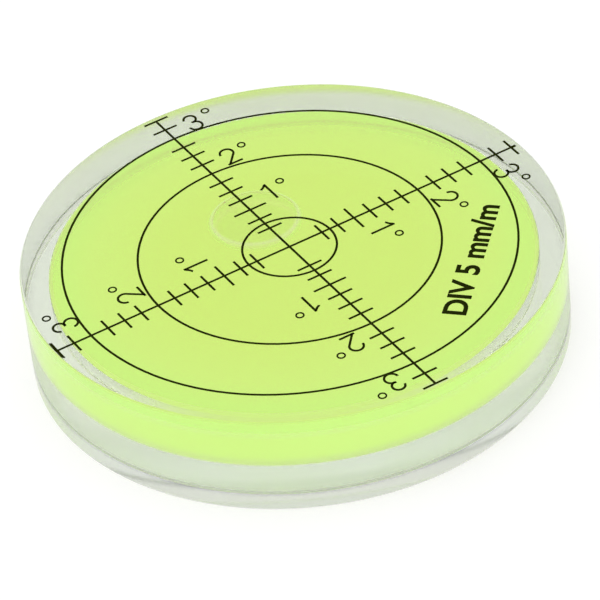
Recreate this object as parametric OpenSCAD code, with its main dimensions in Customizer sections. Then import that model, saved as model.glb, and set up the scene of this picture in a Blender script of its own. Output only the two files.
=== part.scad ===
// Bullseye level: a clear disc that holds green liquid and one bubble under a
// domed roof, with a tilt scale printed on its flat top.
// Origin at the centre of the bottom face, +Z up, millimetres.

/* [Body] */
// Outside diameter of the level
body_d = 60; // [60:0.5:80]
// Height from the bottom face to the flat top
body_h = 12; // [11:0.25:18]
// Rounding of the top outer edge
top_edge_r = 0.3; // [0.1:0.05:0.35]

/* [Chamber] */
// Thickness of the clear wall round the liquid chamber
wall_t = 3; // [2.5:0.25:8]
// Thickness of the clear top over the chamber, at the chamber's wall
roof_edge_t = 3.1; // [1.5:0.1:3.6]
// Rounding where the chamber's wall meets its roof
roof_fillet_r = 0.6; // [0.2:0.1:1]
// Play left all round the liquid, where it wets the clear walls
liquid_play = 0.03; // [0.01:0.01:0.1]

/* [Base] */
// Thickness of the base at its outer rim
base_rim_t = 2.25; // [1.5:0.05:3.5]
// Height that the base's plug stands up into the chamber
base_plug_h = 2.45; // [1:0.05:3]
// Play between the plug and the chamber's wall, on the radius
plug_play = 0.05; // [0.02:0.01:0.2]
// Thickness of the cement that joins the base's rim to the body
cement_t = 0.25; // [0.05:0.01:0.4]
// Bevel on the two outer edges that face each other at the joint
joint_bevel = 0.05; // [0.02:0.01:0.4]
// Rounding of the bottom outer edge
foot_edge_r = 0.2; // [0.1:0.05:0.6]

/* [Bubble] */
// Diameter of the bubble
bubble_d = 10.5; // [6:0.1:12]
// Depth of the bubble below the roof
bubble_depth = 2.4; // [1.6:0.1:2.6]
// Drop of the bubble's rounded underside below its rim
bubble_belly = 0.3; // [0.1:0.05:0.6]
// Film of liquid between the bubble and the roof
bubble_film = 0.05; // [0.03:0.01:0.2]
// Lean of the level that the bubble shows, in degrees
bubble_lean = 1; // [0:0.01:1.5]
// Bearing of the bubble from the centre, counted from +X, in degrees
bubble_bearing = 89; // [0:1:359]

/* [Printed scale] */
// Distance between neighbouring divisions
division_pitch = 2.086; // [1.6:0.002:2.1]
// Divisions for each degree of tilt
divisions_per_degree = 4; // [3:1:4]
// Degrees of tilt out to the largest ring
scale_degrees = 3; // [2:1:3]
// Divisions that each arm has past the largest ring
divisions_past_ring = 2; // [0:1:2]
// Radius of the ring at the centre
centre_ring_r = 5.2; // [4:0.1:6]
// Width of the printed lines
line_w = 0.26; // [0.1:0.01:0.4]
// Half length of a division mark
tick_half = 1.52; // [0.8:0.01:1.8]
// Half length of the mark at one degree
long_tick_half = 2.04; // [1:0.01:2.4]
// Thickness of the ink
ink_t = 0.05; // [0.02:0.01:0.2]
// Shift of the print from the body's axis along X
print_shift_x = -0.4; // [-0.5:0.05:0.5]
// Shift of the print from the body's axis along Y
print_shift_y = -0.15; // [-0.5:0.05:0.5]

/* [Hidden] */
body_facets = 180;
rim_facets = 48;
dome_facets = 2400;
body_r = body_d / 2;
chamber_r = body_r - wall_t;
plug_r = chamber_r - plug_play;
housing_z = base_rim_t + cement_t;
floor_z = base_rim_t + base_plug_h;
roof_edge_z = body_h - roof_edge_t;
// The roof is part of a sphere on which one division is one step of tilt
dome_r = division_pitch / tan(1 / divisions_per_degree);
dome_z = roof_edge_z - sqrt(dome_r * dome_r - chamber_r * chamber_r);
bubble_r = bubble_d / 2;
bubble_top_r = dome_r - 2 * liquid_play - bubble_film;
bubble_rim_r = (bubble_depth - bubble_belly) / 2;
bubble_rim_x = bubble_r - bubble_rim_r;
// Depth of the rim's middle, where the rim touches the bubble's curved top
bubble_rim_z = bubble_top_r - sqrt(pow(bubble_top_r - bubble_rim_r, 2) - pow(bubble_rim_x, 2));
arm_divisions = scale_degrees * divisions_per_degree + divisions_past_ring;
arm_length = arm_divisions * division_pitch;

// Section of the chamber above a floor, drawn in from its walls by play.
// Its fillet touches both the wall and the domed roof.
module chamber_section(floor_height, play) {
    wall_r = chamber_r - play;
    roof_r = dome_r - play;
    fillet_r = roof_fillet_r - play;
    fillet_x = wall_r - fillet_r;
    reach = roof_r - fillet_r;
    fillet_z = dome_z + sqrt(reach * reach - fillet_x * fillet_x);
    touch_x = fillet_x * roof_r / reach;
    translate([0, floor_height])
        square([wall_r, fillet_z - floor_height]);
    translate([fillet_x, fillet_z])
        circle(r = fillet_r, $fn = rim_facets);
    intersection() {
        translate([0, dome_z])
            circle(r = roof_r, $fn = dome_facets);
        translate([0, floor_height])
            square([touch_x, body_h - floor_height]);
    }
}

// Outline of the body without its chamber
module body_section() {
    straight_top = body_h - top_edge_r;
    polygon([
        [0, housing_z],
        [body_r - joint_bevel, housing_z],
        [body_r, housing_z + joint_bevel],
        [body_r, straight_top],
        [0, straight_top]
    ]);
    translate([0, housing_z])
        square([body_r - top_edge_r, body_h - housing_z]);
    translate([body_r - top_edge_r, straight_top])
        circle(r = top_edge_r, $fn = rim_facets);
}

// Part of a large circle that lies above floor_height, out to touch_x
module cap_section(centre_z, radius, floor_height, touch_x) {
    intersection() {
        translate([0, centre_z])
            circle(r = radius, $fn = dome_facets);
        translate([0, floor_height])
            square([touch_x, bubble_depth]);
    }
}

// Outline of the bubble, hung below z = 0: its top follows the roof, its rim is
// round, and both its top and its shallow underside touch the rim
module bubble_section(grow) {
    drop = bubble_depth - bubble_rim_z;
    reach = drop * drop + bubble_rim_x * bubble_rim_x - bubble_rim_r * bubble_rim_r;
    belly_r = reach / (2 * (drop - bubble_rim_r));
    top_touch_x = bubble_rim_x * (bubble_top_r + grow) / (bubble_top_r - bubble_rim_r);
    belly_touch_x = bubble_rim_x * (belly_r + grow) / (belly_r - bubble_rim_r);
    cap_section(-bubble_top_r, bubble_top_r + grow, -bubble_rim_z, top_touch_x);
    cap_section(belly_r - bubble_depth, belly_r + grow, -bubble_rim_z - bubble_depth, belly_touch_x);
    translate([bubble_rim_x, -bubble_rim_z])
        circle(r = bubble_rim_r + grow, $fn = rim_facets);
}

// The bubble floats against the roof, where the roof is level for this lean
module bubble_body(grow) {
    rotate([0, 0, bubble_bearing])
        translate([0, 0, dome_z])
            rotate([0, bubble_lean, 0])
                translate([0, 0, bubble_top_r])
                    rotate_extrude($fn = body_facets)
                        bubble_section(grow);
}

// A printed ring of the given radius to the middle of its line
module ring_line(radius) {
    difference() {
        circle(r = radius + line_w / 2, $fn = body_facets);
        circle(r = radius - line_w / 2, $fn = body_facets);
    }
}

// One arm of the cross, along +X, with its division marks
module scale_arm() {
    translate([0, -line_w / 2])
        square([arm_length, line_w]);
    for (i = [2 : arm_divisions]) {
        half = i == divisions_per_degree ? long_tick_half : tick_half;
        on_ring = i > divisions_per_degree && i % divisions_per_degree == 0;
        if (!on_ring)
            translate([i * division_pitch - line_w / 2, -half])
                square([line_w, 2 * half]);
    }
}

module housing() {
    color([0.86, 0.91, 0.86, 0.35])
        rotate_extrude($fn = body_facets)
            difference() {
                body_section();
                chamber_section(0, 0);
            }
}

module base() {
    color([0.84, 0.88, 0.84, 0.5])
        rotate_extrude($fn = body_facets) {
            polygon([
                [0, foot_edge_r],
                [body_r, foot_edge_r],
                [body_r, base_rim_t - joint_bevel],
                [body_r - joint_bevel, base_rim_t],
                [0, base_rim_t]
            ]);
            square([body_r - foot_edge_r, base_rim_t]);
            translate([body_r - foot_edge_r, foot_edge_r])
                circle(r = foot_edge_r, $fn = rim_facets);
            square([plug_r, floor_z]);
        }
}

module cement_ring() {
    color([0.72, 0.75, 0.73])
        translate([0, 0, base_rim_t])
            difference() {
                cylinder(h = cement_t, r = body_r - joint_bevel, $fn = body_facets);
                translate([0, 0, -cement_t])
                    cylinder(h = 3 * cement_t, r = chamber_r, $fn = body_facets);
            }
}

module liquid() {
    color([0.78, 0.94, 0.32, 0.8])
        difference() {
            rotate_extrude($fn = body_facets)
                chamber_section(floor_z + liquid_play, liquid_play);
            bubble_body(liquid_play);
        }
}

module bubble() {
    color([0.93, 0.97, 0.8, 0.4])
        bubble_body(0);
}

module printed_scale() {
    color([0.12, 0.14, 0.05])
        translate([0, 0, body_h])
            linear_extrude(height = ink_t)
                intersection() {
                    circle(r = body_r - top_edge_r, $fn = body_facets);
                    translate([print_shift_x, print_shift_y]) {
                        ring_line(centre_ring_r);
                        for (degree = [2 : scale_degrees])
                            ring_line(degree * divisions_per_degree * division_pitch);
                        for (quarter = [0 : 3])
                            rotate(90 * quarter)
                                scale_arm();
                    }
                }
}

housing();
base();
cement_ring();
liquid();
bubble();
printed_scale();
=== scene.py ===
import math

import bmesh
import bpy
from mathutils import Matrix, Vector


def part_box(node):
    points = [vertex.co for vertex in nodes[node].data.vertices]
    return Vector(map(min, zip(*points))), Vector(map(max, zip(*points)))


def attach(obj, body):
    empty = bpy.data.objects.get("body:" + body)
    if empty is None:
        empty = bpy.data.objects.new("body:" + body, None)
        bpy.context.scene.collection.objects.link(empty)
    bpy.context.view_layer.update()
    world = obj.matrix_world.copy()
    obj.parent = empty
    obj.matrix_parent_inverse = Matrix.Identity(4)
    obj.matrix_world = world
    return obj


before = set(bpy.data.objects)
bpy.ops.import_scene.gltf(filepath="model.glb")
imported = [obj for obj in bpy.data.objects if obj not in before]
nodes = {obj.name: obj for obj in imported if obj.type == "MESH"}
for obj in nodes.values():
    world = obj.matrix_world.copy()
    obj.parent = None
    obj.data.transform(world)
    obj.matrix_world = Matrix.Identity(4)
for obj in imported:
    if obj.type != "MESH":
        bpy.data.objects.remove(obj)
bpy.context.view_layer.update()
mm = 0.001
weldWithin = 0.001 * mm     # points that lie closer are made one
untinted = (1.0, 1.0, 1.0, 1.0)
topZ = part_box("housing")[1].z
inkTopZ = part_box("printed_scale")[1].z
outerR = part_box("housing")[1].x
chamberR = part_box("liquid")[1].x
print("frame loaded:", ", ".join(sorted(nodes)))


# Shader helpers

noiseMiddle = (0.3, 0.7)    # nearly all of a noise's values lie between these


def newMaterial(name, viewColour):
    mat = bpy.data.materials.new(name)
    mat.use_nodes = True
    mat.diffuse_color = viewColour
    tree = mat.node_tree
    tree.nodes.clear()
    out = tree.nodes.new("ShaderNodeOutputMaterial")
    return mat, tree, out


def addNode(tree, kind, **values):
    node = tree.nodes.new(kind)
    for key, value in values.items():
        if key in node.inputs:
            node.inputs[key].default_value = value
        else:
            setattr(node, key, value)
    return node


def objectPoint(tree, scale=1.0):
    coord = addNode(tree, "ShaderNodeTexCoord")
    mapping = addNode(tree, "ShaderNodeMapping")
    mapping.inputs["Scale"].default_value = (scale, scale, scale)
    tree.links.new(coord.outputs["Object"], mapping.inputs["Vector"])
    return mapping.outputs["Vector"]


def noiseRange(tree, vector, scale, low, high, detail=3.0):
    noise = addNode(tree, "ShaderNodeTexNoise", Scale=scale, Detail=detail)
    spread = addNode(tree, "ShaderNodeMapRange")
    spread.inputs["From Min"].default_value = noiseMiddle[0]
    spread.inputs["From Max"].default_value = noiseMiddle[1]
    spread.inputs["To Min"].default_value = low
    spread.inputs["To Max"].default_value = high
    tree.links.new(vector, noise.inputs["Vector"])
    tree.links.new(noise.outputs["Fac"], spread.inputs["Value"])
    return spread.outputs["Result"]


def letLampsThrough(tree, out, shader, tint):
    # Lamps reach what lies behind a clear wall, so that its shadow stays light
    path = addNode(tree, "ShaderNodeLightPath")
    clear = addNode(tree, "ShaderNodeBsdfTransparent", Color=tint)
    mix = addNode(tree, "ShaderNodeMixShader")
    tree.links.new(path.outputs["Is Shadow Ray"], mix.inputs[0])
    tree.links.new(shader, mix.inputs[1])
    tree.links.new(clear.outputs[0], mix.inputs[2])
    tree.links.new(mix.outputs[0], out.inputs["Surface"])


# Clear acrylic. Its outside is polished and bends the light. Where it touches the
# liquid, the cement or the other half, the light goes on without bending, because
# the liquid's own surface carries the step from acrylic to liquid.

acrylic = {
    "ior": 1.49,
    "viewColour": (0.85, 0.9, 0.85, 0.4),
    "wettedViewColour": (0.85, 0.9, 0.85, 0.2),
    "topTint": (0.915, 0.945, 0.87, 1.0),
    "sideTint": (0.965, 0.955, 0.985, 1.0),
    "footTint": (0.93, 0.95, 0.925, 1.0),
    "baseSideTint": (0.965, 0.95, 0.95, 1.0),
    "jointTint": (0.8, 0.77, 0.84, 1.0),    # at the joint, where cement has crept out
    "jointReach": 0.6 * mm,     # down the base's side, and a quarter of it up the body's
    "shadowTint": (0.97, 0.98, 0.96, 1.0),
    "topHaze": (0.0, 0.004),
    "sideHaze": (0.2, 0.25),    # the side is turned, and a little softer
    "baseSideHaze": (0.08, 0.1),
    "hazeScale": 70.0,
}


def clearAcrylic(name, haze, colour, joint=None):
    # joint holds the two heights between which the tint of the joint comes in
    mat, tree, out = newMaterial(name, acrylic["viewColour"])
    point = objectPoint(tree)
    glass = addNode(tree, "ShaderNodeBsdfGlass", Color=colour, IOR=acrylic["ior"])
    rough = noiseRange(tree, point, acrylic["hazeScale"], haze[0], haze[1])
    tree.links.new(rough, glass.inputs["Roughness"])
    if joint:
        height = addNode(tree, "ShaderNodeSeparateXYZ")
        near = addNode(tree, "ShaderNodeMapRange", interpolation_type="SMOOTHSTEP")
        near.inputs["From Min"].default_value = joint[0]
        near.inputs["From Max"].default_value = joint[1]
        tint = addNode(tree, "ShaderNodeMix", data_type="RGBA")
        tint.inputs[6].default_value = colour
        tint.inputs[7].default_value = acrylic["jointTint"]
        tree.links.new(point, height.inputs["Vector"])
        tree.links.new(height.outputs["Z"], near.inputs["Value"])
        tree.links.new(near.outputs["Result"], tint.inputs[0])
        tree.links.new(tint.outputs[2], glass.inputs["Color"])
    letLampsThrough(tree, out, glass.outputs[0], acrylic["shadowTint"])
    return mat


def wettedAcrylic(name):
    mat, tree, out = newMaterial(name, acrylic["wettedViewColour"])
    clear = addNode(tree, "ShaderNodeBsdfTransparent", Color=untinted)
    tree.links.new(clear.outputs[0], out.inputs["Surface"])
    return mat


def assignFaces(obj, materials, choose):
    obj.data.materials.clear()
    for mat in materials:
        obj.data.materials.append(mat)
    for face in obj.data.polygons:
        face.material_index = choose(face.center, face.normal)


def radius(point):
    return math.hypot(point.x, point.y)


# Cement: a thin, slightly cloudy film. Where it shows at the mouth of the joint it
# bends the light as the acrylic beside it does.

cement = {
    "viewColour": (0.8, 0.82, 0.8, 0.6),
    "mouthViewColour": (0.75, 0.77, 0.75, 0.8),
    "tint": (0.985, 0.985, 0.985, 1.0),
    "cloud": (0.46, 0.45, 0.47, 1.0),
    "cloudShare": 0.12,     # at the outer edge
    "cloudReach": 1.2 * mm,
    "mouthShare": (0.5, 0.6),
    "mouthRoughness": 0.3,
    "mouthCloudRoughness": 0.6,
    "roughness": 0.5,
    "mottleScale": 1500.0,
    "mottle": (0.8, 1.0),
}

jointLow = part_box("cement_ring")[0].z
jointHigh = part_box("cement_ring")[1].z
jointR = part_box("cement_ring")[1].x
edgeMargin = 0.02 * mm
bevelReach = 0.06 * mm
besideWall = 0.2 * mm
flatNormal = 0.7        # a face whose normal rises or falls more than this is flat
downNormal = -0.5
bevelNormal = 0.3
jointAbove = (jointHigh + acrylic["jointReach"] / 4, jointHigh)
jointBelow = (jointLow - acrylic["jointReach"], jointLow)
bodyPolished = clearAcrylic("acrylicBodyTop", acrylic["topHaze"], acrylic["topTint"])
bodyTurned = clearAcrylic(
    "acrylicBodySide", acrylic["sideHaze"], acrylic["sideTint"], jointAbove
)
basePolished = clearAcrylic("acrylicBaseFoot", acrylic["topHaze"], acrylic["footTint"])
baseTurned = clearAcrylic(
    "acrylicBaseSide", acrylic["baseSideHaze"], acrylic["baseSideTint"], jointBelow
)
wetted = wettedAcrylic("acrylicWetted")


def edgeCement():
    # Set cement at the mouth of the joint, on its own face and on the two bevels
    mat, tree, out = newMaterial("cementMouth", cement["mouthViewColour"])
    glass = addNode(tree, "ShaderNodeBsdfGlass", Color=acrylic["footTint"], IOR=acrylic["ior"])
    glass.inputs["Roughness"].default_value = cement["mouthRoughness"]
    body = addNode(tree, "ShaderNodeBsdfPrincipled", Roughness=cement["mouthCloudRoughness"])
    body.inputs["Base Color"].default_value = cement["cloud"]
    share = noiseRange(tree, objectPoint(tree), cement["mottleScale"], *cement["mouthShare"])
    mix = addNode(tree, "ShaderNodeMixShader")
    tree.links.new(share, mix.inputs[0])
    tree.links.new(glass.outputs[0], mix.inputs[1])
    tree.links.new(body.outputs[0], mix.inputs[2])
    letLampsThrough(tree, out, mix.outputs[0], acrylic["shadowTint"])
    return mat


mouth = edgeCement()
onPolished, onTurned, onWetted, onMouth = range(4)     # slots of housing and base


def housingFace(center, normal):
    inChamber = radius(center) < chamberR + besideWall and center.z < topZ - mm
    atRim = center.z < jointHigh + edgeMargin and radius(center) < jointR
    if inChamber or (atRim and normal.z < downNormal):
        return onWetted
    if center.z < jointHigh + bevelReach and normal.z < -bevelNormal:
        return onMouth
    return onTurned if abs(normal.z) < flatNormal else onPolished


def baseFace(center, normal):
    if center.z > jointLow - edgeMargin and radius(center) < jointR:
        return onWetted
    if center.z > jointLow - bevelReach and normal.z > bevelNormal:
        return onMouth
    return onTurned if abs(normal.z) < flatNormal else onPolished


assignFaces(nodes["housing"], [bodyPolished, bodyTurned, wetted, mouth], housingFace)
assignFaces(nodes["base"], [basePolished, baseTurned, wetted, mouth], baseFace)
print("acrylic done")


def cementFace(center, normal):
    # The outer face is slot 1
    return 1 if abs(normal.z) < -downNormal and radius(center) > jointR - mm else 0


def cementMaterial():
    mat, tree, out = newMaterial("cementFilm", cement["viewColour"])
    clear = addNode(tree, "ShaderNodeBsdfTransparent", Color=cement["tint"])
    body = addNode(tree, "ShaderNodeBsdfPrincipled", Roughness=cement["roughness"])
    body.inputs["Base Color"].default_value = cement["cloud"]
    point = objectPoint(tree)
    flat = addNode(tree, "ShaderNodeVectorMath", operation="MULTIPLY")
    flat.inputs[1].default_value = (1.0, 1.0, 0.0)
    fromAxis = addNode(tree, "ShaderNodeVectorMath", operation="LENGTH")
    edge = addNode(tree, "ShaderNodeMapRange", interpolation_type="SMOOTHSTEP")
    edge.inputs["From Min"].default_value = jointR - cement["cloudReach"]
    edge.inputs["From Max"].default_value = jointR
    edge.inputs["To Max"].default_value = cement["cloudShare"]
    mottle = noiseRange(tree, point, cement["mottleScale"], *cement["mottle"])
    share = addNode(tree, "ShaderNodeMath", operation="MULTIPLY")
    mix = addNode(tree, "ShaderNodeMixShader")
    tree.links.new(point, flat.inputs[0])
    tree.links.new(flat.outputs["Vector"], fromAxis.inputs[0])
    tree.links.new(fromAxis.outputs["Value"], edge.inputs["Value"])
    tree.links.new(edge.outputs["Result"], share.inputs[0])
    tree.links.new(mottle, share.inputs[1])
    tree.links.new(share.outputs[0], mix.inputs[0])
    tree.links.new(clear.outputs[0], mix.inputs[1])
    tree.links.new(body.outputs[0], mix.inputs[2])
    tree.links.new(mix.outputs[0], out.inputs["Surface"])
    return mat


assignFaces(nodes["cement_ring"], [cementMaterial(), mouth], cementFace)
print("cement done")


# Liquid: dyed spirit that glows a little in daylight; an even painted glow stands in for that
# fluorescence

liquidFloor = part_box("liquid")[0].z

liquid = {
    "viewColour": (0.62, 0.9, 0.12, 0.8),
    "bubbleViewColour": (0.62, 0.9, 0.12, 0.2),
    "iorWall": 0.918,       # liquid against acrylic at the wall and roof
    "iorFloor": 0.893,      # and at the floor
    "absorb": (0.20, 0.07, 0.53),       # share lost in each millimetre
    "paintedGlow": (0.138, 0.0735, 0.120),     # light given back in each millimetre
    "wallRoughness": 0.3,
    "filletShare": 0.12,    # painted glow given out in each millimetre, standing in for the dye's fluorescence
    "footShare": 0.5,       # and the cement that has crept up the foot of the wall
    "footHeight": 1.3 * mm,
    "frostColour": (1.0, 1.0, 0.95, 1.0),
    "middlePaintedShade": (1.0, 0.945, 0.85, 1.0),      # painted shade: the middle is darkest, as the least light reaches it
    "outerPaintedShade": (1.0, 0.975, 0.97, 1.0),
    "edgePaintedShade": (0.95, 1.0, 1.0, 1.0),
    "middleEnds": 0.5,      # places on the way from the axis to the wall
    "outerAt": 0.82,
    "edgeAt": 0.95,
    "shadowTint": (0.86, 0.98, 0.45, 1.0),
    "perMetre": 1000.0,
    # How the parts of its surface are told apart
    "nearBubble": 0.1 * mm,
    "bubbleTop": 0.15 * mm,
    "nearFloor": 0.05 * mm,
    "floorNormal": -0.9,
    "roofNormal": 0.98,
    "wallNormal": 0.02,
}


def paintedShadeFromEdge(tree):
    # Painted shade over the roof, by how far the point is from the axis
    across = addNode(tree, "ShaderNodeVectorMath", operation="MULTIPLY")
    across.inputs[1].default_value = (1.0 / chamberR, 1.0 / chamberR, 0.0)
    fromAxis = addNode(tree, "ShaderNodeVectorMath", operation="LENGTH")
    ramp = addNode(tree, "ShaderNodeValToRGB")
    stops = ramp.color_ramp.elements
    stops[0].position = liquid["middleEnds"]
    stops[0].color = liquid["middlePaintedShade"]
    stops[1].position = liquid["edgeAt"]
    stops[1].color = liquid["edgePaintedShade"]
    stops.new(liquid["outerAt"]).color = liquid["outerPaintedShade"]
    tree.links.new(objectPoint(tree), across.inputs[0])
    tree.links.new(across.outputs["Vector"], fromAxis.inputs[0])
    tree.links.new(fromAxis.outputs["Value"], ramp.inputs["Fac"])
    return ramp.outputs["Color"]


def frostOver(tree, shader, share):
    # A pale haze that shows from both sides
    near = addNode(tree, "ShaderNodeBsdfDiffuse", Color=liquid["frostColour"])
    far = addNode(tree, "ShaderNodeBsdfTranslucent", Color=liquid["frostColour"])
    both = addNode(tree, "ShaderNodeMixShader")
    blend = addNode(tree, "ShaderNodeMixShader")
    tree.links.new(near.outputs[0], both.inputs[1])
    tree.links.new(far.outputs[0], both.inputs[2])
    tree.links.new(shader, blend.inputs[1])
    tree.links.new(both.outputs[0], blend.inputs[2])
    if isinstance(share, float):
        blend.inputs[0].default_value = share
    else:
        tree.links.new(share, blend.inputs[0])
    return blend.outputs[0]


def footHaze(tree):
    height = addNode(tree, "ShaderNodeSeparateXYZ")
    fade = addNode(tree, "ShaderNodeMapRange", interpolation_type="SMOOTHSTEP")
    fade.inputs["From Min"].default_value = liquidFloor
    fade.inputs["From Max"].default_value = liquidFloor + liquid["footHeight"]
    fade.inputs["To Min"].default_value = liquid["footShare"]
    fade.inputs["To Max"].default_value = 0.0
    tree.links.new(objectPoint(tree), height.inputs["Vector"])
    tree.links.new(height.outputs["Z"], fade.inputs["Value"])
    return fade.outputs["Result"]


def roofShader(tree, ior):
    # Only light that goes through the roof takes the painted shade, not what is mirrored
    through = addNode(tree, "ShaderNodeBsdfRefraction", IOR=ior, Roughness=0.0)
    mirror = addNode(tree, "ShaderNodeBsdfGlossy", Roughness=0.0)
    mirror.inputs["Color"].default_value = untinted
    share = addNode(tree, "ShaderNodeFresnel", IOR=ior)
    mix = addNode(tree, "ShaderNodeMixShader")
    tree.links.new(paintedShadeFromEdge(tree), through.inputs["Color"])
    tree.links.new(share.outputs[0], mix.inputs[0])
    tree.links.new(through.outputs[0], mix.inputs[1])
    tree.links.new(mirror.outputs[0], mix.inputs[2])
    return mix.outputs[0]


def liquidMaterial(name, ior, roughness, part=""):
    mat, tree, out = newMaterial(name, liquid["viewColour"])
    glass = addNode(tree, "ShaderNodeBsdfGlass", Color=untinted, IOR=ior, Roughness=roughness)
    shader = glass.outputs[0]
    if part == "roof":
        shader = roofShader(tree, ior)
    if part == "fillet":
        shader = frostOver(tree, shader, liquid["filletShare"])
    if part == "wall":
        shader = frostOver(tree, shader, footHaze(tree))
    letLampsThrough(tree, out, shader, liquid["shadowTint"])
    addVolume(tree, out)
    return mat


def addVolume(tree, out):
    keep = [1.0 - a for a in liquid["absorb"]]
    paintedGlowColour = list(liquid["paintedGlow"]) + [1.0]
    dye = addNode(tree, "ShaderNodeVolumeAbsorption", Color=keep + [1.0])
    dye.inputs["Density"].default_value = liquid["perMetre"]
    # Painted glow: an even emission through the liquid, standing in for its fluorescence
    paintedGlow = addNode(tree, "ShaderNodeEmission", Color=paintedGlowColour, Strength=liquid["perMetre"])
    both = addNode(tree, "ShaderNodeAddShader")
    tree.links.new(dye.outputs[0], both.inputs[0])
    tree.links.new(paintedGlow.outputs[0], both.inputs[1])
    tree.links.new(both.outputs[0], out.inputs["Volume"])


bubbleLow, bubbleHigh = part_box("bubble")
bubbleMid = (bubbleLow + bubbleHigh) / 2
bubbleR = (bubbleHigh.x - bubbleLow.x) / 2
atWall, atFloor, atBubble, atRoof, atFillet = range(5)      # slots of the liquid


def liquidFace(center, normal):
    fromBubble = math.hypot(center.x - bubbleMid.x, center.y - bubbleMid.y)
    near = liquid["nearBubble"]
    if fromBubble < bubbleR + near and center.z > bubbleLow.z - near:
        if normal.z < 0.0 or center.z < bubbleHigh.z - liquid["bubbleTop"]:
            return atBubble
    if normal.z < liquid["floorNormal"] and center.z < liquidFloor + liquid["nearFloor"]:
        return atFloor
    if normal.z > liquid["roofNormal"]:
        return atRoof
    return atFillet if normal.z > liquid["wallNormal"] else atWall


def liquidAtBubble():
    # The bubble's own surface bends the light, so this one doesn't
    mat, tree, out = newMaterial("liquidAtBubble", liquid["bubbleViewColour"])
    clear = addNode(tree, "ShaderNodeBsdfTransparent")
    tree.links.new(clear.outputs[0], out.inputs["Surface"])
    addVolume(tree, out)
    return mat


liquidSlots = [
    liquidMaterial("liquidAtWall", liquid["iorWall"], liquid["wallRoughness"], "wall"),
    liquidMaterial("liquidAtFloor", liquid["iorFloor"], 0.0),
    liquidAtBubble(),
    liquidMaterial("liquidAtRoof", liquid["iorWall"], 0.0, "roof"),
    liquidMaterial("liquidAtFillet", liquid["iorWall"], liquid["wallRoughness"], "fillet"),
]
assignFaces(nodes["liquid"], liquidSlots, liquidFace)
print("liquid done")


# Bubble: gas, seen by the way its rim bends the light, and by a painted highlight along its rim

bubble = {
    "viewColour": (0.95, 0.98, 0.9, 0.3),
    "ior": 0.745,           # gas against liquid
    "tint": (0.97, 0.96, 0.98, 1.0),
    "paintedHighlightShare": 0.3,        # how much the painted highlight along the rim covers
    "paintedHighlightColour": (0.93, 0.95, 0.9, 1.0),
    "rimInset": 0.35 * mm,
    "rimWidth": 0.8 * mm,
    "roughness": 0.08,
}


def bubbleMaterial():
    mat, tree, out = newMaterial("gasPocket", bubble["viewColour"])
    glass = addNode(tree, "ShaderNodeBsdfGlass", Color=bubble["tint"], IOR=bubble["ior"])
    glass.inputs["Roughness"].default_value = bubble["roughness"]
    # Painted highlight: a pale glowing ring along the rim stands in for the light that the rim
    # catches
    rim = addNode(tree, "ShaderNodeEmission", Color=bubble["paintedHighlightColour"], Strength=1.0)
    coord = addNode(tree, "ShaderNodeTexCoord")
    centred = addNode(tree, "ShaderNodeMapping")
    centred.inputs["Location"].default_value = (-bubbleMid.x, -bubbleMid.y, 0.0)
    centred.inputs["Scale"].default_value = (1.0, 1.0, 0.0)
    fromAxis = addNode(tree, "ShaderNodeVectorMath", operation="LENGTH")
    away = addNode(tree, "ShaderNodeMath", operation="SUBTRACT")
    away.inputs[1].default_value = bubbleR - bubble["rimInset"]
    size = addNode(tree, "ShaderNodeMath", operation="ABSOLUTE")
    highlightBand = addNode(tree, "ShaderNodeMapRange", interpolation_type="SMOOTHSTEP")
    highlightBand.inputs["From Max"].default_value = bubble["rimWidth"] / 2
    highlightBand.inputs["To Min"].default_value = bubble["paintedHighlightShare"]
    highlightBand.inputs["To Max"].default_value = 0.0
    mix = addNode(tree, "ShaderNodeMixShader")
    tree.links.new(coord.outputs["Object"], centred.inputs["Vector"])
    tree.links.new(centred.outputs["Vector"], fromAxis.inputs[0])
    tree.links.new(fromAxis.outputs["Value"], away.inputs[0])
    tree.links.new(away.outputs[0], size.inputs[0])
    tree.links.new(size.outputs[0], highlightBand.inputs["Value"])
    tree.links.new(highlightBand.outputs["Result"], mix.inputs[0])
    tree.links.new(glass.outputs[0], mix.inputs[1])
    tree.links.new(rim.outputs[0], mix.inputs[2])
    letLampsThrough(tree, out, mix.outputs[0], untinted)
    return mat


nodes["bubble"].data.materials.clear()
nodes["bubble"].data.materials.append(bubbleMaterial())
print("bubble done")


# Ink: thin dark screen print

ink = {
    "viewColour": (0.02, 0.025, 0.01, 1.0),
    "dark": (0.008, 0.011, 0.001, 1.0),
    "light": (0.018, 0.023, 0.003, 1.0),
    "roughnessLow": 0.5,
    "roughnessHigh": 0.75,
    "specular": 0.0,
    "grainScale": 2500.0,
    "grainDetail": 2.0,
    "grainStrength": 0.3,
    "grainHeight": 0.004 * mm,
}


def inkMaterial():
    mat, tree, out = newMaterial("scaleInk", ink["viewColour"])
    point = objectPoint(tree)
    paint = addNode(tree, "ShaderNodeBsdfPrincipled")
    paint.inputs["Specular IOR Level"].default_value = ink["specular"]
    noise = addNode(tree, "ShaderNodeTexNoise", Scale=ink["grainScale"], Detail=ink["grainDetail"])
    colour = addNode(tree, "ShaderNodeMix", data_type="RGBA")
    colour.inputs[6].default_value = ink["dark"]
    colour.inputs[7].default_value = ink["light"]
    tree.links.new(point, noise.inputs["Vector"])
    tree.links.new(noise.outputs["Fac"], colour.inputs[0])
    tree.links.new(colour.outputs[2], paint.inputs["Base Color"])
    sheen = noiseRange(tree, point, ink["grainScale"], ink["roughnessLow"], ink["roughnessHigh"])
    tree.links.new(sheen, paint.inputs["Roughness"])
    bump = addNode(tree, "ShaderNodeBump", Strength=ink["grainStrength"])
    bump.inputs["Distance"].default_value = ink["grainHeight"]
    tree.links.new(noise.outputs["Fac"], bump.inputs["Height"])
    tree.links.new(bump.outputs["Normal"], paint.inputs["Normal"])
    tree.links.new(paint.outputs[0], out.inputs["Surface"])
    return mat


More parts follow.
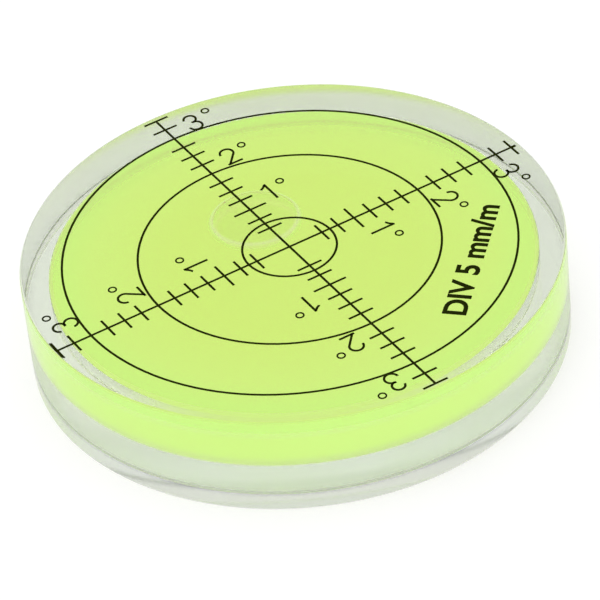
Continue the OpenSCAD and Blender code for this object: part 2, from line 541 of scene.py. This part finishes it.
inkMat = inkMaterial()
nodes["printed_scale"].data.materials.clear()
nodes["printed_scale"].data.materials.append(inkMat)
print("ink done")


# Printed figures. Each stroke is drawn with a flat pen: a short edge as wide as the
# line is spun or pushed along, and the strip is then given the ink's thickness.

figures = {
    "penWidth": 0.27 * mm,
    "finePenWidth": 0.19 * mm,      # for the degree rings
    "arcSteps": 20,
    "shift": (-0.4 * mm, -0.15 * mm),   # the print's own centre
    "floatAbove": 0.002 * mm,
}
figuresZ = topZ + figures["floatAbove"]


class Pen:
    def __init__(self, width):
        self.bm = bmesh.new()
        self.width = width
        self.tip = []

    def start(self, x, y, angle):
        # The edge stands across the way that the pen will go
        half = self.width / 2
        across = Vector((-math.sin(math.radians(angle)), math.cos(math.radians(angle)), 0)) * half
        middle = Vector((x, y, 0)) * mm
        ends = [self.bm.verts.new(middle - across), self.bm.verts.new(middle + across)]
        self.tip = ends + [self.bm.edges.new(ends)]

    def push(self, x, y):
        made = bmesh.ops.extrude_edge_only(self.bm, edges=[self.tip[2]])["geom"]
        ends = [g for g in made if isinstance(g, bmesh.types.BMVert)]
        edge = [g for g in made if isinstance(g, bmesh.types.BMEdge) and set(g.verts) == set(ends)]
        bmesh.ops.translate(self.bm, verts=ends, vec=Vector((x, y, 0)) * mm)
        self.tip = ends + edge

    def turn(self, x, y, degrees):
        last = bmesh.ops.spin(
            self.bm,
            geom=self.tip,
            cent=Vector((x, y, 0)) * mm,
            axis=(0, 0, 1),
            angle=math.radians(degrees),
            steps=figures["arcSteps"],
            use_merge=abs(degrees) == 360,
        )["geom_last"]
        verts = [g for g in last if isinstance(g, bmesh.types.BMVert)]
        edges = [g for g in last if isinstance(g, bmesh.types.BMEdge)]
        self.tip = verts + edges


# Strokes of the figures, in millimetres from each one's lower left corner

def drawOne():
    pen = Pen(figures["penWidth"])
    pen.start(0.92, 0.0, 90)
    pen.push(0, 3.0)
    pen.start(0.94, 2.92, 225)
    pen.push(-0.42, -0.4)
    pen.push(-0.4, -0.22)
    return pen.bm


def drawTwo():
    pen = Pen(figures["penWidth"])
    pen.start(0.16, 2.14, 90)
    pen.turn(0.94, 2.14, -210)
    pen.push(-1.42, -1.66)
    pen.start(0.0, 0.135, 0)
    pen.push(1.86, 0)
    return pen.bm


def drawThree():
    pen = Pen(figures["penWidth"])
    pen.start(0.2, 2.4, 80)
    pen.turn(0.9, 2.28, -260)
    pen.start(0.78, 1.62, 0)
    pen.turn(0.9, 0.86, -280)
    return pen.bm


def drawDegree():
    pen = Pen(figures["finePenWidth"])
    pen.start(0.42, 0.0, 90)
    pen.turn(0.0, 0.0, 360)
    return pen.bm


def addInkPiece(bm, name):
    mesh = bpy.data.meshes.new(name)
    bm.to_mesh(mesh)
    bm.free()
    mesh.materials.append(inkMat)
    obj = bpy.data.objects.new(name, mesh)
    bpy.context.scene.collection.objects.link(obj)
    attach(obj, "root")


def layInk(bm, name, move):
    bmesh.ops.remove_doubles(bm, verts=bm.verts, dist=weldWithin)
    bmesh.ops.recalc_face_normals(bm, faces=bm.faces)
    made = bmesh.ops.extrude_face_region(bm, geom=bm.faces)["geom"]
    lifted = [g for g in made if isinstance(g, bmesh.types.BMVert)]
    bmesh.ops.translate(bm, verts=lifted, vec=(0, 0, inkTopZ - topZ))
    bmesh.ops.transform(bm, matrix=move, verts=bm.verts)
    bmesh.ops.recalc_face_normals(bm, faces=bm.faces)
    addInkPiece(bm, name)


def armPlace(quarter, x, y):
    turn = Matrix.Rotation(-quarter * math.pi / 2, 4, "Z")
    centre = Matrix.Translation((figures["shift"][0], figures["shift"][1], figuresZ))
    return centre @ turn @ Matrix.Translation((x * mm, y * mm, 0))


armNames = ["North", "East", "South", "West"]
# Each figure's name, its strokes, and its place beside the north arm in millimetres
figurePlaces = [
    ("One", drawOne, 2.68, 8.35),
    ("Two", drawTwo, 2.35, 16.8),
    ("Three", drawThree, 2.35, 24.85),
    ("OneDegree", drawDegree, 5.36, 10.85),
    ("TwoDegree", drawDegree, 5.44, 19.3),
    ("ThreeDegree", drawDegree, 5.5, 27.5),
]
for quarter, arm in enumerate(armNames):
    for word, draw, x, y in figurePlaces:
        layInk(draw(), "figure" + arm + word, armPlace(quarter, x, y))
print("figures done")


# The west arm's last mark runs on over the rounded edge

overEdge = {
    "start": 29.66 * mm,    # from the body's axis
    "floatAbove": 0.01 * mm,
    "inkDepth": 0.008 * mm,
    "bearing": 180.1,       # degrees
    "span": 5.9,
    "spanSteps": 8,
    "edgeR": 0.3 * mm,      # rounding of the body's top edge
    "edgeSpan": 24.0,       # degrees down round that edge
    "edgeSteps": 6,
}


def drawOverEdge():
    # A line on the flat top is carried round the edge, and then round the body's axis
    bm = bmesh.new()
    markZ = topZ + overEdge["floatAbove"]
    start = bm.verts.new(Vector((overEdge["start"], 0, markZ)))
    centre = Vector((outerR - overEdge["edgeR"], 0, topZ - overEdge["edgeR"]))
    rim = bm.verts.new(Vector((centre.x, 0, markZ)))
    bm.edges.new((start, rim))
    bmesh.ops.spin(
        bm,
        geom=[rim],
        cent=centre,
        axis=(0, 1, 0),
        angle=math.radians(overEdge["edgeSpan"]),
        steps=overEdge["edgeSteps"],
    )
    profile = list(bm.verts) + list(bm.edges)
    bmesh.ops.spin(
        bm,
        geom=profile,
        cent=(0, 0, 0),
        axis=(0, 0, 1),
        angle=math.radians(overEdge["span"]),
        steps=overEdge["spanSteps"],
    )
    turn = Matrix.Rotation(math.radians(overEdge["bearing"] - overEdge["span"] / 2), 3, "Z")
    bmesh.ops.rotate(bm, verts=bm.verts, cent=(0, 0, 0), matrix=turn)
    bmesh.ops.remove_doubles(bm, verts=bm.verts, dist=weldWithin)
    bmesh.ops.recalc_face_normals(bm, faces=bm.faces)
    if sum(face.normal.z for face in bm.faces) < 0:
        bmesh.ops.reverse_faces(bm, faces=bm.faces)
    bmesh.ops.solidify(bm, geom=bm.faces[:], thickness=overEdge["inkDepth"])
    bmesh.ops.recalc_face_normals(bm, faces=bm.faces)
    addInkPiece(bm, "markOverEdge")


drawOverEdge()
print("edge mark done")


# The east arm's line runs on a little past its end mark

eastTip = {
    "start": 28.75 * mm,    # from the body's axis
    "end": 29.4 * mm,
    "width": 0.34 * mm,
}


def drawEastTip():
    bm = bmesh.new()
    bmesh.ops.create_grid(bm, x_segments=1, y_segments=1, size=0.5)
    size = (eastTip["end"] - eastTip["start"], eastTip["width"], 1.0)
    bmesh.ops.scale(bm, vec=size, verts=bm.verts)
    return bm


tipMiddle = (eastTip["start"] + eastTip["end"]) / 2
tipPlace = Matrix.Translation((tipMiddle, figures["shift"][1], figuresZ))
layInk(drawEastTip(), "eastArmTip", tipPlace)
print("east tip done")


# A plain note of the scale's unit, between the two outer rings

legend = {
    "words": "DIV 5 mm/m",
    "height": 2.65 * mm,
    "length": 19.2 * mm,
    "bolder": 0.024,        # in the font's own size
    "fontCapHeight": 0.73,
    "curveSteps": 6,
    "turn": 45.2,           # degrees
    "start": (8.3 * mm, -21.85 * mm),
}


def drawLegend():
    curve = bpy.data.curves.new("legendText", "FONT")
    curve.body = legend["words"]
    curve.offset = legend["bolder"]
    curve.resolution_u = legend["curveSteps"]
    holder = bpy.data.objects.new("legendText", curve)
    bpy.context.scene.collection.objects.link(holder)
    bpy.context.view_layer.update()
    mesh = bpy.data.meshes.new_from_object(holder)
    bpy.data.objects.remove(holder)
    bm = bmesh.new()
    bm.from_mesh(mesh)
    bpy.data.meshes.remove(mesh)
    low = Vector((min(v.co.x for v in bm.verts), 0, 0))
    wide = max(v.co.x for v in bm.verts) - low.x
    bmesh.ops.translate(bm, verts=bm.verts, vec=-low)
    scale = (legend["length"] / wide, legend["height"] / legend["fontCapHeight"], 1.0)
    bmesh.ops.scale(bm, vec=scale, verts=bm.verts)
    return bm


legendPlace = Matrix.Translation((legend["start"][0], legend["start"][1], figuresZ))
legendTurn = Matrix.Rotation(math.radians(legend["turn"]), 4, "Z")
layInk(drawLegend(), "scaleLegend", legendPlace @ legendTurn)
print("legend done")


# Floor, light and camera

studio = {
    "floorSize": 3.0,
    "airGap": 0.02 * mm,    # the level stands on the floor, it isn't stuck to it
    "floorColour": (0.93, 0.93, 0.93, 1.0),
    "plainShare": 0.6,      # share of the floor's look that takes no shadow
    "plainShareThrough": 0.74,      # the same, seen through the level or in a reflection
    "floorViewColour": (0.95, 0.95, 0.95, 1.0),
    "worldLevel": 1.0,
    "worldInReflections": 0.7,
    "lampPower": 3.0,
    "lampSize": 0.6,
    "lampPlace": (-0.25, 0.15, 0.9),
    "bounces": 24,
    "mirrorBounces": 12,
    "clearLayers": 48,
}


def makeFloor():
    bm = bmesh.new()
    bmesh.ops.create_grid(bm, x_segments=1, y_segments=1, size=studio["floorSize"])
    bmesh.ops.translate(bm, verts=bm.verts, vec=(0, 0, -studio["airGap"]))
    mesh = bpy.data.meshes.new("studioFloor")
    bm.to_mesh(mesh)
    bm.free()
    floor = bpy.data.objects.new("studioFloor", mesh)
    bpy.context.scene.collection.objects.link(floor)
    mat, tree, out = newMaterial("paleFloor", studio["floorViewColour"])
    paint = addNode(tree, "ShaderNodeBsdfDiffuse", Color=studio["floorColour"])
    plain = addNode(tree, "ShaderNodeEmission", Strength=1.0)
    path = addNode(tree, "ShaderNodeLightPath")
    through = addNode(tree, "ShaderNodeMath", operation="MAXIMUM")
    less = addNode(tree, "ShaderNodeMath", operation="MULTIPLY")
    less.inputs[1].default_value = studio["plainShareThrough"]
    direct = addNode(tree, "ShaderNodeMath", operation="MULTIPLY")
    direct.inputs[1].default_value = studio["plainShare"]
    share = addNode(tree, "ShaderNodeMath", operation="MAXIMUM")
    mix = addNode(tree, "ShaderNodeMixShader")
    tree.links.new(path.outputs["Is Transmission Ray"], through.inputs[0])
    tree.links.new(path.outputs["Is Glossy Ray"], through.inputs[1])
    tree.links.new(through.outputs[0], less.inputs[0])
    tree.links.new(path.outputs["Is Camera Ray"], direct.inputs[0])
    tree.links.new(less.outputs[0], share.inputs[0])
    tree.links.new(direct.outputs[0], share.inputs[1])
    tree.links.new(share.outputs[0], mix.inputs[0])
    tree.links.new(paint.outputs[0], mix.inputs[1])
    tree.links.new(plain.outputs[0], mix.inputs[2])
    tree.links.new(mix.outputs[0], out.inputs["Surface"])
    mesh.materials.append(mat)


def makeLight():
    world = bpy.data.worlds.new("studioWorld")
    bpy.context.scene.world = world
    world.use_nodes = True
    tree = world.node_tree
    back = tree.nodes["Background"]
    back.inputs["Color"].default_value = untinted
    # Rays that go through the level count as glossy too, so those are taken out
    path = addNode(tree, "ShaderNodeLightPath")
    mirrored = addNode(tree, "ShaderNodeMath", operation="SUBTRACT", use_clamp=True)
    level = addNode(tree, "ShaderNodeMapRange")
    level.inputs["To Min"].default_value = studio["worldLevel"]
    level.inputs["To Max"].default_value = studio["worldInReflections"]
    tree.links.new(path.outputs["Is Glossy Ray"], mirrored.inputs[0])
    tree.links.new(path.outputs["Is Transmission Ray"], mirrored.inputs[1])
    tree.links.new(mirrored.outputs[0], level.inputs["Value"])
    tree.links.new(level.outputs["Result"], back.inputs["Strength"])
    lamp = bpy.data.lights.new("softLamp", "AREA")
    lamp.energy = studio["lampPower"]
    lamp.size = studio["lampSize"]
    holder = bpy.data.objects.new("softLamp", lamp)
    # It only gives light: neither the polished top nor the clear body shows its square
    holder.visible_camera = False
    holder.visible_glossy = False
    holder.visible_transmission = False
    holder.location = studio["lampPlace"]
    holder.rotation_euler = (-holder.location).to_track_quat("-Z", "Y").to_euler()
    bpy.context.scene.collection.objects.link(holder)


# The camera stands where the photograph's did, worked out from the rings and marks
shot = {
    "place": (-0.167025, -0.316798, 0.290006),
    "turn": -0.48582307,    # bearing round the level, in radians
    "rise": 0.673560655,    # height over the horizon
    "roll": -0.108051516,
    "lens": 248.69,
    "sensor": 36.0,
    "nearest": 0.01,
}


def makeCamera():
    camera = bpy.data.cameras.new("photoCamera")
    camera.sensor_width = shot["sensor"]
    camera.lens = shot["lens"]
    camera.clip_start = shot["nearest"]
    holder = bpy.data.objects.new("photoCamera", camera)
    sinTurn, cosTurn = math.sin(shot["turn"]), math.cos(shot["turn"])
    sinRise, cosRise = math.sin(shot["rise"]), math.cos(shot["rise"])
    back = Vector((sinTurn * cosRise, -cosTurn * cosRise, sinRise))
    right = Vector((cosTurn, sinTurn, 0))
    frameOfView = Matrix((right, back.cross(right), back)).transposed().to_4x4()
    roll = Matrix.Rotation(shot["roll"], 4, "Z")
    holder.matrix_world = Matrix.Translation(shot["place"]) @ frameOfView @ roll
    bpy.context.scene.collection.objects.link(holder)
    bpy.context.scene.camera = holder


makeFloor()
makeLight()
makeCamera()
scene = bpy.context.scene
scene.view_settings.view_transform = "Standard"
scene.cycles.max_bounces = studio["bounces"]
scene.cycles.transmission_bounces = studio["bounces"]
scene.cycles.glossy_bounces = studio["mirrorBounces"]
scene.cycles.transparent_max_bounces = studio["clearLayers"]
print("stage done")
